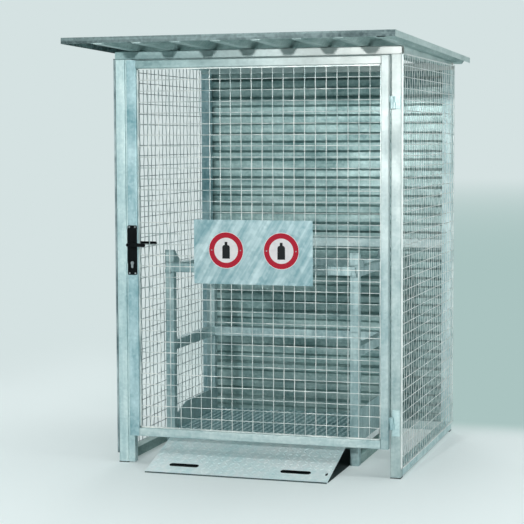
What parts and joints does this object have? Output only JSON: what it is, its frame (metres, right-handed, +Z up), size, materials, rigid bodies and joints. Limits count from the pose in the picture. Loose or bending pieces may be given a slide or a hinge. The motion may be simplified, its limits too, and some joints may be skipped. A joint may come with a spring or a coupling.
{
  "type": "gas cylinder cabinet",
  "caption": "Walk-up wire mesh cage for upright gas cylinders: ribbed roof, hinged mesh door with lever lock, inner rack with loading ramp.",
  "frame": {"origin": "on the floor, under the middle of the bounding box", "axes": "+Z up, the door faces -Y, +X to the right seen from the door side"},
  "size_m": [1.577, 1.868, 2.0717],
  "materials": {
    "galvanised_steel": "hot-dip galvanised, pale teal grey with soft spangle",
    "zinc_sheet": "zinc-coated sheet, satin",
    "zinc_trim": "zinc-coated folded sheet, satin",
    "galvanised_wire": "galvanised round wire",
    "chequer_plate": "galvanised tread plate",
    "bright_hardware": "zinc-plated",
    "black_plastic": "black, fine grain",
    "foot_plastic": "black, matt",
    "sign_sheet": "galvanised sheet with slanted streaks",
    "sign_enamel": "enamelled round plates"
  },
  "bodies": {
    "frame": {"feet": "foot_plastic", "post_front_left": "galvanised_steel", "post_front_right": "galvanised_steel", "post_back_left": "galvanised_steel", "post_back_right": "galvanised_steel", "lock_jamb": "galvanised_steel", "header": "galvanised_steel", "back_beam": "galvanised_steel", "side_beam_left": "galvanised_steel", "side_beam_right": "galvanised_steel", "sill_left": "galvanised_steel", "sill_right": "galvanised_steel", "sill_back": "galvanised_steel", "mid_rail_back": "galvanised_steel", "mesh_left": "galvanised_wire", "mesh_right": "galvanised_wire", "back_sheet": "zinc_sheet", "roof_sheet": "zinc_sheet", "roof_trim_front": "zinc_trim", "roof_trim_left": "zinc_trim", "roof_trim_right": "zinc_trim", "roof_screws": "bright_hardware", "keep": "galvanised_steel", "hinge_upper_post": "galvanised_steel", "hinge_lower_post": "galvanised_steel", "rack_post_front_left": "galvanised_steel", "rack_post_front_right": "galvanised_steel", "rack_post_back_left": "galvanised_steel", "rack_post_back_right": "galvanised_steel", "rack_rails_left": "galvanised_steel", "rack_rails_right": "galvanised_steel", "rack_rails_back": "galvanised_steel", "rack_kick_plates": "galvanised_steel", "rack_deck": "chequer_plate", "rack_bearers": "galvanised_steel", "rack_skids": "galvanised_steel", "rack_bar_hooks": "galvanised_steel", "ramp_knuckles": "galvanised_steel"},
    "door": {"door_stile_lock": "galvanised_steel", "door_stile_hinge": "galvanised_steel", "door_rail_top": "galvanised_steel", "door_rail_bottom": "galvanised_steel", "door_mesh": "galvanised_wire", "sign_plate": "sign_sheet", "hinge_upper_door": "galvanised_steel", "hinge_lower_door": "galvanised_steel", "lock_case": "bright_hardware", "lock_plate_outer": "black_plastic", "lock_plate_inner": "black_plastic", "lock_screws": "bright_hardware", "key_cylinder": "bright_hardware"},
    "handle": {"lever_outer": "black_plastic", "lever_inner": "black_plastic", "lever_spindle": "bright_hardware"},
    "latch": {"latch_bolt": "bright_hardware"},
    "key": {"key_plug": "bright_hardware"},
    "bolt": {"dead_bolt": "bright_hardware"},
    "ramp": {"ramp_plate": "chequer_plate", "ramp_pin": "bright_hardware"},
    "bar": {"rack_front_bar": "galvanised_steel"}
  },
  "joints": [
    {"name": "door_hinge", "type": "hinge", "parent": "frame", "child": "door", "pos_m": [0.674, -0.48658, 1], "axis": [0, 0, 1], "range_deg": [0, 110]},
    {"name": "handle_turn", "type": "hinge", "parent": "door", "child": "handle", "pos_m": [-0.615, -0.48858, 1.092], "axis": [0, 1, 0], "range_deg": [0, 40], "stiffness_Nm_per_rad": 1.2, "springref_deg": -17.19},
    {"name": "latch_slide", "type": "slide", "parent": "door", "child": "latch", "axis": [1, 0, 0], "range_m": [0, 0.012]},
    {"name": "key_turn", "type": "hinge", "parent": "door", "child": "key", "pos_m": [-0.615, -0.48858, 1], "axis": [0, 1, 0], "range_deg": [0, 360]},
    {"name": "bolt_slide", "type": "slide", "parent": "door", "child": "bolt", "axis": [-1, 0, 0], "range_m": [0, 0.02]},
    {"name": "ramp_hinge", "type": "hinge", "parent": "frame", "child": "ramp", "pos_m": [-0.046, -0.25258, 0.124], "axis": [-1, 0, 0], "range_deg": [0, 15]},
    {"name": "bar_lift", "type": "slide", "parent": "frame", "child": "bar", "axis": [0, 0, 1], "range_m": [0, 0.03]}
  ],
  "couplings": [
    {"joint": "latch_slide", "follows": "handle_turn", "m_per_rad": 0.017189},
    {"joint": "key_turn", "follows": "bolt_slide", "rad_per_m": 314.16}
  ]
}
